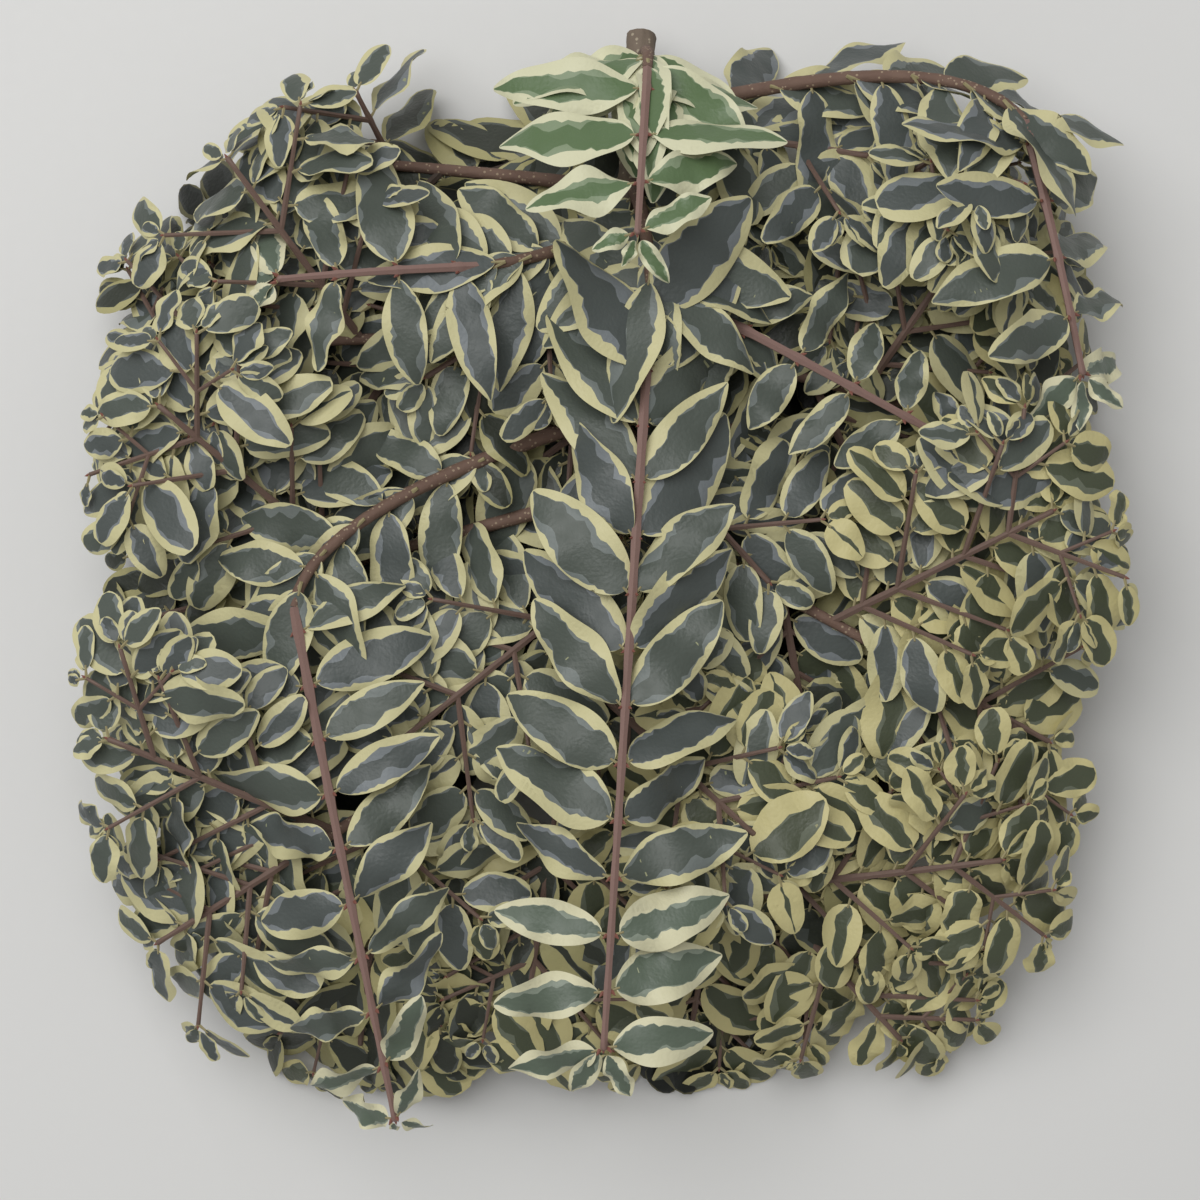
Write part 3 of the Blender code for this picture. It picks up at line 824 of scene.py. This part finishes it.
# %% Routes of the limbs
BoughPair = namedtuple("BoughPair", "share angle length rise")
BOUGH_PAIRS = (
    BoughPair(0.22, 92, 82 * MM, 10 * MM),
    BoughPair(0.41, 82, 86 * MM, -6 * MM),
    BoughPair(0.62, 68, 88 * MM, 8 * MM),
    BoughPair(0.85, 50, 94 * MM, -8 * MM),
)
BOUGH_ARCH = 7 * MM
stem_route = Arch(STEM_CUT, STEM_BEND, STEM_TIP)
routes = {"end": stem_route}
for level, pair in enumerate(BOUGH_PAIRS, 1):
    root = point_on(stem_route, pair.share)
    grows = direction_on(stem_route, pair.share)
    grows.z = 0
    for side, word in ((1, "right"), (-1, "left")):
        tip = root + turned(grows.normalized(), pair.angle * side) * pair.length + UP * pair.rise * side
        routes[f"{word}_{level}"] = arched(root, tip, BOUGH_ARCH)
print("limb routes:", list(routes))

# %% [markdown]
# Six shoots reach over the rest and make the picture. Each starts at the end of a front bough, which bends up
# from the main stem. Their places, in millimetres, are the solids' own. A lean is given for the leaves at a
# shoot's foot and for those at its tip, on each side.

# %% The front shoots' routes
SHOOT_DIAMETERS = (2.9 * MM, 1.9 * MM)
SHOOT_RINGS = 60
FRONT_ARCH = 7 * MM
FRONT_INTERNODE = 15.5 * MM
Front = namedtuple("Front", "stem_share bough_bend foot tip leaf right_lean left_lean")
FRONT_SHOOTS = {
    "long": Front(0.21, (13, 106, 62), (14, 84, 66), (1, -121, 74), 43 * MM, (138, 66), (140, 96)),
    "top": Front(0.05, (14, 158, 48), (13, 146, 60), (10, 98, 84), 40 * MM, (100, 62), (96, 116)),
    "right": Front(0.12, (98, 158, 50), (117, 132, 58), (132, 62, 64), 37 * MM, (112, 68), (120, 100)),
    "left": Front(0.52, (-80, 26, 56), (-84, -2, 62), (-56, -142, 64), 34 * MM, (108, 86), (106, 132)),
    "slanting": Front(0.32, (18, 88, 50), (34, 78, 54), (114, 34, 58), 27 * MM, (100, 116), (80, 130)),
    "upright": Front(0.26, (-8, 96, 54), (-32, 92, 58), (-88, 88, 62), 36 * MM, (78, 68), (110, 50)),
}




def shoot_route(front):
    return arched(Vector(front.foot) * MM, Vector(front.tip) * MM, FRONT_ARCH)


def front_bough_route(front):
    root = point_on(stem_route, front.stem_share)
    return Arch(root, Vector(front.bough_bend) * MM, Vector(front.foot) * MM)


for name, front in FRONT_SHOOTS.items():
    print("shoot", name, "is", round((Vector(front.tip) - Vector(front.foot)).length), "mm from foot to tip")

# %% [markdown]
# The front leaves are looked at closely, so they get many rows, long outlines and waves in their margins.
# The cream edge is narrow on one side of a leaf and broad on the other. The shoot at the top is young and
# bright green, and so, a little, are the tips of the others.

# %% How a front leaf looks
FRONT_ROWS = 28
FRONT_TEETH = 0.075
NARROW_EDGE = (0.78, 0.9)
BROAD_EDGE = (0.5, 0.76)
YOUNG_EDGES = ((0.4, 0.7), (0.45, 0.75))
FRONT_OUTLINE = ((0.56, 0.72), (0.7, 0.92))
FRONT_WAVE_SIZES = (0.08, 0.3)
TIP_WAVE = 0.25
FRONT_WAVES = (0.9, 1.9)
FRONT_BREADTHS = (0.86, 1.0)
TIP_START = 0.84


def uniform_pair(dice, ranges):
    return tuple(dice.uniform(*limits) for limits in ranges)


def front_look(shoot):
    """A function that gives a leaf's look on one of the front shoots."""
    def look_for(share, base, dice):
        age = dice.choice(("mature", "blue", "mature"))
        if shoot == "top":
            age = "fresh"
        elif share > TIP_START:
            age = "tip"
        margins = uniform_pair(dice, (NARROW_EDGE, BROAD_EDGE))
        if dice.random() >= 0.5:
            margins = margins[::-1]
        if age in ("fresh", "tip"):
            margins = uniform_pair(dice, YOUNG_EDGES)
        outline = uniform_pair(dice, FRONT_OUTLINE)
        size = dice.uniform(*FRONT_WAVE_SIZES) + TIP_WAVE * share
        waves = (size, dice.uniform(*FRONT_WAVES), dice.random())
        return Look(age, FRONT_ROWS, margins, FRONT_TEETH, outline, dice.uniform(*FRONT_BREADTHS), waves)
    return look_for

# %% [markdown]
# Each shoot grows as a leafy stem. The front boughs would be bare up to where their shoots start, and the
# photo shows leaves there, so pairs of leaves stand along them too. Every second pair lies along the top of
# its bough and hides some of it.

# %% Grow the front shoots
BOUGH_LEAF_SHARES = np.arange(0.16, 0.98, 0.08)
BOUGH_LEANS = (58, 6)
BOUGH_TOP = 2.4 * MM
BOUGH_LEAF_SIZE = 0.95
BOUGH_LEAF_AGE_SHARE = 0.3


def leafy_bough(name, front, store):
    """The pairs of leaves on one front bough, and how many leaves there are."""
    route = front_bough_route(front)
    length = front.leaf * BOUGH_LEAF_SIZE
    grown = 0
    for i, share in enumerate(BOUGH_LEAF_SHARES.tolist()):
        on_top = i % 2
        base = point_on(route, share) + UP * (BOUGH_TOP * on_top)
        for side in (1, -1):
            dice = random.Random(f"bough {name} {i} {side}")
            leaf = place_leaf(base, direction_on(route, share), side, BOUGH_LEANS[on_top], length, dice)
            look = front_look(name)(BOUGH_LEAF_AGE_SHARE, base, dice)
            leaf = grow_blade(leaf, look, dice.getrandbits(SEED_BITS), store)
            if leaf:
                grown += 1
                grow_stalk(leaf)
    return grown


front_leaves = Store()
count = 0
for name, front in FRONT_SHOOTS.items():
    leans = {1: front.right_lean, -1: front.left_lean}
    stem = Stem(
        f"shoot_{name}", shoot_route(front), SHOOT_DIAMETERS, front.leaf,
        leans, FRONT_INTERNODE, "shoot", SHOOT_RINGS,
    )
    count += leafy_stem(stem, front_look(name), front_leaves)
for name, front in FRONT_SHOOTS.items():
    count += leafy_bough(name, front, front_leaves)
print("leaves on the front shoots:", count)

# %% [markdown]
# Behind them the bough is a tangle of short leafy stems, the masses. Three fan out near the end of each limb,
# and eight more grow on the main stem between the boughs. The solids have few twigs on each mass, and here
# the same rule goes on to more pairs and to finer twigs of their own.

# %% How the masses are laid out
MASS_DIAMETERS = (2.3 * MM, 1.5 * MM)
TWIG_DIAMETERS = (1.6 * MM, 1.1 * MM)
FINE_DIAMETERS = (1.2 * MM, 0.9 * MM)
TWIG_LENGTH = 32 * MM
FINE_LENGTH = 17 * MM
TWIG_ANGLE = 52
TWIG_SPREAD = 8
TWIG_RISE_SPREAD = 0.3
TWIG_LEAF_SHARE = 0.86
MASS_RINGS, TWIG_RINGS, FINE_RINGS = 14, 6, 4
INNER_INTERNODE = 10.5 * MM
MASS_ARCH = 5 * MM
MASS_LEANS = {1: (62, 44), -1: (62, 44)}
FanStem = namedtuple("FanStem", "share angle length rise")
FAN = {
    "tip": FanStem(1.0, 0, 56 * MM, -4 * MM),
    "upper": FanStem(0.84, 56, 66 * MM, 20 * MM),
    "lower": FanStem(0.66, -50, 74 * MM, -30 * MM),
}
FAN_TWIGS = (0.3, 0.6, 0.14, 0.8)
INNER_PAIRS = ((0.13, 84), (0.31, 52), (0.51, 48), (0.74, 44))
INNER_LENGTH = 66 * MM
INNER_RISE = 18 * MM
INNER_TWIGS = (0.4, 0.7, 0.2)
FINE_TWIG = 0.45
OUTER_TWIG = 0.75

# Stems that were turned, in degrees, or lifted to find a clear way between their neighbours
TURNED_ASIDE = {
    "mass_left_1_tip": (14, 0),
    "mass_right_1_upper": (-24, -9 * MM),
    "mass_right_2_upper": (14, 0),
    "mass_left_3_upper": (0, 7 * MM),
    "mass_inner_left_1": (14, 0),
    "mass_inner_left_3": (0, -7 * MM),
}
print("masses:", len(routes) * len(FAN) + 2 * len(INNER_PAIRS))

# %% [markdown]
# A stem in a mass is as long as its rule says, or as much shorter as it has to be to end inside the crown.
# Twigs leave it in pairs, a little up or down, as each one's own seed says.

# %% Routes in a mass
def stem_end(foot, way, length, rise):
    """The end of a stem that grows one way, short enough for its tip to stay in the crown."""
    for tenths in range(10, 2, -1):
        end = foot + way * (length * tenths / 10) + UP * rise
        end.z = min(max(end.z, LOWEST_STEM), CROWN_HEIGHT - STEM_MARGIN)
        if in_crown(end, STEM_MARGIN):
            return end
    return end


def mass_route(name, foot, grows, angle, length, rise):
    way = Vector((grows.x, grows.y, 0)).normalized()
    more_angle, more_rise = TURNED_ASIDE.get(name, (0, 0))
    return arched(foot, stem_end(foot, turned(way, angle + more_angle), length, rise + more_rise), MASS_ARCH)


def twig_route(name, i, side, arch, share, length):
    dice = random.Random(f"{name} twig {i} {side}")
    foot = point_on(arch, share)
    grows = direction_on(arch, share)
    sideways = grows.cross(facing(foot)).normalized() * side
    turn = math.radians(TWIG_ANGLE + dice.uniform(-TWIG_SPREAD, TWIG_SPREAD))
    rise = UP * dice.uniform(-TWIG_RISE_SPREAD, TWIG_RISE_SPREAD)
    way = (grows * math.cos(turn) + sideways * math.sin(turn) + rise).normalized()
    tip = foot + way * length * dice.uniform(SHORTEST, LONGEST)
    tip.z = max(tip.z, LOWEST_STEM)
    return arched(foot, tip, 0)

# %% [markdown]
# Foliage gets darker with depth, because little light reaches it and because old leaves stay there. The light
# alone wouldn't make it as dark as in the photo, so the leaves' colours carry painted shade by height: dark
# colours with a narrow edge low down, and brighter ones with a broad edge above, or as painted light near the
# rim. A few leaves are nearly all cream.

# %% How a background leaf looks
# Leaves below SHADE_LEVEL take colours with painted shade, those below BRIGHT_LEVEL colours with painted half
# shade, and RIM_LIGHT paints light on leaves near the crown's rim.
SHADE_LEVEL, BRIGHT_LEVEL = 22 * MM, 40 * MM
HEIGHT_SPREAD = 7
RIM, RIM_LIGHT = 0.72, 90 * MM
MASS_ROWS = {"deep": 7, "dusky": 10, "mature": 13, "blue": 13, "small": 10}
MASS_EDGES = {
    "deep": ((0.78, 0.93), (0.7, 0.93)),
    "dusky": ((0.6, 0.88), (0.5, 0.85)),
    "mature": ((0.5, 0.86), (0.4, 0.82)),
    "blue": ((0.5, 0.86), (0.4, 0.82)),
    "small": ((0.25, 0.8), (0.2, 0.75)),
}
CREAM_EDGES = ((0.06, 0.3), (0.06, 0.2))
CREAM_CHANCE = 0.06
SMALL_CHANCE = 1.1
MASS_TEETH = 0.085
MASS_OUTLINE = ((0.46, 0.7), (0.46, 0.74))
MASS_WAVES = ((0.0, 0.3), (0.8, 1.8))
MASS_BREADTHS = {"small": (1.2, 1.5), "deep": (1.1, 1.3), "other": (1.02, 1.26)}


def light_at(base, dice):
    """The light that a leaf's colours stand for: its height, with some chance in it, and more than that near
    the crown's rim, where the brighter colours are painted light.
    """
    outward = max(abs(base.x) / CROWN_HALF_WIDTH, abs(base.y) / CROWN_HALF_LENGTH)
    return base.z + dice.uniform(-HEIGHT_SPREAD, HEIGHT_SPREAD) * MM + max(outward - RIM, 0) * RIM_LIGHT


def mass_look(share, base, dice):
    """A background leaf's look, with painted shade in its colours from the light that it gets, and how near it
    is to the small leaved corner.
    """
    light = light_at(base, dice)
    if light < SHADE_LEVEL:
        age = "deep"
    elif light < BRIGHT_LEVEL:
        age = "dusky"
    else:
        age = dice.choice(("mature", "blue"))
    margins = uniform_pair(dice, MASS_EDGES[age])
    if light > SHADE_LEVEL and dice.random() < corner_share(base) * SMALL_CHANCE:
        age = "small"
        margins = uniform_pair(dice, MASS_EDGES[age])
    if dice.random() < CREAM_CHANCE:
        margins = uniform_pair(dice, CREAM_EDGES)
    outline = uniform_pair(dice, MASS_OUTLINE)
    waves = (*uniform_pair(dice, MASS_WAVES), dice.random())
    breadths = {kind: dice.uniform(*limits) for kind, limits in MASS_BREADTHS.items()}
    breadth = breadths.get(age, breadths["other"])
    return Look(age, MASS_ROWS[age], margins, MASS_TEETH, outline, breadth, waves)

# %% [markdown]
# A mass is its stem, its pairs of twigs and, on the outermost of them, a pair of finer twigs each. All are
# leafy stems, and a twig that would leave the crown is left out.

# %% Grow one mass
def grow_twig(name, route, diameters, leaf_length, wood, rings, store):
    """A leafy twig, if its tip is in the crown, and how many leaves it got."""
    if not in_crown(route.end, TWIG_MARGIN):
        return 0
    stem = Stem(name, route, diameters, leaf_length, MASS_LEANS, INNER_INTERNODE, wood, rings)
    return leafy_stem(stem, mass_look, store)


def grow_mass(name, arch, leaf_length, twig_shares, store):
    """One mass, and how many leaves it got."""
    count = 0
    # Twigs low in the crown take a darker bark, painted shade.
    wood = "deep" if point_on(arch, 0.5).z < SHADE_LEVEL else "twig"
    small = leaf_length * TWIG_LEAF_SHARE
    for i, share in enumerate(twig_shares):
        for side in (1, -1):
            twig = f"{name} {i} {side}"
            route = twig_route(name, i, side, arch, share, TWIG_LENGTH)
            grown = grow_twig(twig, route, TWIG_DIAMETERS, small, wood, TWIG_RINGS, store)
            count += grown
            if share < OUTER_TWIG or not grown:
                continue
            for fine_side in (1, -1):
                fine = twig_route(twig, 0, fine_side, route, FINE_TWIG, FINE_LENGTH)
                fine_name = f"{twig} 0 {fine_side}"
                count += grow_twig(fine_name, fine, FINE_DIAMETERS, small, wood, FINE_RINGS, store)
    stem = Stem(name, arch, MASS_DIAMETERS, leaf_length, MASS_LEANS, INNER_INTERNODE, wood, MASS_RINGS)
    return count + leafy_stem(stem, mass_look, store)

# %% [markdown]
# The masses' leaves are too many for one mesh, so each area of the crown gets a mesh of its own. Each area
# also keeps the names of the solids that its mesh stands for.

# %% Grow every mass
AREAS = {
    "end": "end", "right_1": "upper_right", "right_2": "upper_right", "right_3": "lower_right",
    "right_4": "lower_right", "left_1": "upper_left", "left_2": "upper_left", "left_3": "lower_left",
    "left_4": "lower_left",
}
mass_stores = {}
mass_nodes = {}


def grow_in(area, name, arch, leaf_length, twig_shares):
    """Grows a mass into its area's store, and notes the solid that it replaces, if it has one."""
    store = mass_stores.setdefault(area, Store())
    if name in frame["nodes"]:
        mass_nodes.setdefault(area, []).append(name)
    return grow_mass(name, arch, leaf_length, twig_shares, store)


count = 0
for route_name, route in routes.items():
    for word, fan in FAN.items():
        name = f"mass_{route_name}_{word}"
        foot = point_on(route, fan.share)
        turn = -fan.angle if route_name.startswith("left") else fan.angle
        arch = mass_route(name, foot, direction_on(route, fan.share), turn, fan.length, fan.rise)
        count += grow_in(AREAS[route_name], name, arch, inner_leaf_length(foot), FAN_TWIGS)
for level, (share, angle) in enumerate(INNER_PAIRS, 1):
    foot = point_on(stem_route, share)
    for side, word in ((1, "right"), (-1, "left")):
        name = f"mass_inner_{word}_{level}"
        rise = INNER_RISE if (level % 2) == (side == 1) else -INNER_RISE
        arch = mass_route(name, foot, direction_on(stem_route, share), angle * side, INNER_LENGTH, rise)
        count += grow_in("inner", name, arch, inner_leaf_length(foot), INNER_TWIGS)
print("leaves in the masses:", count)

# %% [markdown]
# Bark could be bump alone, but a bough end is looked at from close by. Here each limb is a fine tube whose
# points are pushed in and out by noises stretched along the limb, for shallow furrows, with low rings where
# leaves once stood and small raised pores.

# %% Bark with relief
LEAF_SCAR_SPACING = 13 * MM
LEAF_SCAR_HEIGHT = 0.06
LEAF_SCAR_WIDTH = 0.05
NOISE_RADIUS = 2.2
NOISE_PER_METRE = 160
FURROW_SCALE = 1.6
FINE_FURROW_SCALE = Vector((4, 4, 1.4))
FINE_FURROW_SHARE = 0.5
PORE_SCALE = Vector((3.4, 3.4, 4.2))
PORE_START = 0.42
PORE_RISE = 1.6

Limb = namedtuple("Limb", "diameters rings sides depth")


def bark_relief(turn, travelled, seed):
    """How far the bark stands out at one spot of a limb, in depths of its relief."""
    round_limb = Vector((math.cos(turn), math.sin(turn), 0)) * NOISE_RADIUS
    spot = round_limb + UP * (travelled * NOISE_PER_METRE + seed)
    furrow = noise.noise(spot * FURROW_SCALE) + FINE_FURROW_SHARE * noise.noise(spot * FINE_FURROW_SCALE)
    pore = max(0, noise.noise(spot * PORE_SCALE) - PORE_START) * PORE_RISE
    return (furrow - 1) / 2 + pore


def bark_tube(arch, limb, seed, store, finish, end_finish):
    """A limb whose bark stands in relief, with its ends cut flat."""
    turns = np.linspace(0, TURN, limb.sides, endpoint=False)
    length = (arch.end - arch.start).length
    points = [np.array(arch.start)]
    for i in range(limb.rings):
        share = i / (limb.rings - 1)
        travelled = share * length
        along = direction_on(arch, share)
        across = along.cross(UP).normalized()
        over = across.cross(along)
        from_scar = travelled / LEAF_SCAR_SPACING % 1 - 0.5
        scar = LEAF_SCAR_HEIGHT * math.exp(-((from_scar / LEAF_SCAR_WIDTH) ** 2))
        radius = blend(limb.diameters, share) / 2 * (1 + scar)
        for turn in turns:
            way = over * math.cos(turn) - across * math.sin(turn)
            out = radius + limb.depth * bark_relief(turn, travelled, seed)
            points.append(np.array(point_on(arch, share) + way * out))
    points.append(np.array(arch.end))
    store.add(np.vstack(points), rings_to_faces(limb.rings, limb.sides), [finish, end_finish, end_finish])

# %% [markdown]
# The main stem is about twice as thick as a bough, so it gets more rings and deeper relief, and pale wood at
# its cut end. Each limb's noise starts somewhere else, so that no two have the same bark.

# %% The limbs' bark
MAIN_STEM = Limb((9.0 * MM, 5.0 * MM), 260, 56, 0.5 * MM)
BOUGH = Limb((4.6 * MM, 3.0 * MM), 90, 24, 0.24 * MM)
SEED_STEP = 7.0
FIRST_FRONT_SEED = 90

stem_bark = Store()
bark_tube(stem_route, MAIN_STEM, 1.0, stem_bark, 0, 1)
bough_bark = Store()
for i, (name, route) in enumerate(routes.items()):
    if name != "end":
        bark_tube(route, BOUGH, i * SEED_STEP, bough_bark, 0, 0)
for i, front in enumerate(FRONT_SHOOTS.values()):
    bark_tube(front_bough_route(front), BOUGH, FIRST_FRONT_SEED + i * SEED_STEP, bough_bark, 0, 0)
print("points of bark:", stem_bark.count + bough_bark.count)

# %% [markdown]
# Now the stores become pieces. Each one is moved with the bough's own shift, rides on the one body, says
# whose finish it takes and names the solids that it stands for.

# %% Make the pieces
CREASE = 50


def finish_piece(store, name, materials, nodes):
    piece = store.piece(name, materials, CREASE)
    piece.data.transform(Matrix.Translation(shift))
    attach(piece, "root")
    if nodes:
        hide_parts(*nodes)
    return piece


finish_piece(stem_bark, "stem_bark", [old_bark, cut_wood], ["main_stem"])
boughs = [name for name in frame["nodes"] if name.startswith("bough_")]
finish_piece(bough_bark, "bough_bark", [young_bark], boughs)
finish_piece(twigs, "twigs", WOOD_MATERIALS, [])
finish_piece(stalks, "leaf_stalks", WOOD_MATERIALS, [])
finish_piece(buds, "buds", WOOD_MATERIALS, [])
shoots = [name for name in frame["nodes"] if name.startswith("shoot_")]
finish_piece(front_leaves, "leaves_front", MATERIALS, shoots)
for area, store in mass_stores.items():
    finish_piece(store, f"leaves_{area}", MATERIALS, mass_nodes[area])

# %% [markdown]
# The bough lies on a plain pale table top. It is one large face, so that its edge stays out of every view,
# and it lies a little under the lowest leaf.

# %% Floor
HALF_FLOOR = 3.0
FLOOR_LEVEL = -0.2 * MM
FLOOR_COLOUR = (0.78, 0.78, 0.77, 1)
FLOOR_ROUGHNESS = 0.8
FLOOR_GRAIN = 90.0
FLOOR_STRENGTH = 0.02

floor_mesh = bpy.data.meshes.new("floor")
corners = [(x * HALF_FLOOR, y * HALF_FLOOR, 0) for x, y in ((-1, -1), (1, -1), (1, 1), (-1, 1))]
floor_mesh.from_pydata(corners, [], [(0, 1, 2, 3)])
floor = bpy.data.objects.new("floor", floor_mesh)
floor.location.z = FLOOR_LEVEL
bpy.context.scene.collection.objects.link(floor)
floor_finish, tree, shader, effect, bump = start_finish(
    "table_top", leaf_skin, Roughness=FLOOR_ROUGHNESS, Vein_Scale=FLOOR_GRAIN
)
shader.inputs["Base Color"].default_value = FLOOR_COLOUR
bump.inputs["Strength"].default_value = FLOOR_STRENGTH
tree.links.new(effect.outputs["Roughness"], shader.inputs["Roughness"])
floor_mesh.materials.append(floor_finish)
print("a floor of", 2 * HALF_FLOOR, "m")

# %% [markdown]
# The photo has the soft light of an overcast day. A broad lamp above the table, a little to the left and
# towards the cut end, gives the leaves their shape, and a pale sky all round fills the shadows between them.

# %% Light
LAMP_SIZE = 1.6
LAMP_POWER = 26
LAMP_PLACE = (-0.5, 0.6, 1.7)
SKY_COLOUR = (1.0, 0.99, 0.97, 1)
SKY_STRENGTH = 0.28

lamp = bpy.data.lights.new("soft_light", "AREA")
lamp.shape = "SQUARE"
lamp.size = LAMP_SIZE
lamp.energy = LAMP_POWER
lamp_holder = bpy.data.objects.new("soft_light", lamp)
lamp_holder.location = LAMP_PLACE
lamp_holder.rotation_euler = (-Vector(LAMP_PLACE)).to_track_quat("-Z", "Y").to_euler()
bpy.context.scene.collection.objects.link(lamp_holder)

sky = bpy.data.worlds.new("pale_sky")
sky.use_nodes = True
background = sky.node_tree.nodes["Background"]
background.inputs["Color"].default_value = SKY_COLOUR
background.inputs["Strength"].default_value = SKY_STRENGTH
bpy.context.scene.world = sky
print("a lamp of", LAMP_POWER, "W at", LAMP_PLACE, "and a sky of strength", SKY_STRENGTH)

# %% [markdown]
# The dressed bough must be as large as its solids. Both boxes are written down, so that they can be compared.

# %% Write the solids' size
print("solids", [round((b - a) / MM, 1) for a, b in zip(cad_low, cad_high)], "mm")
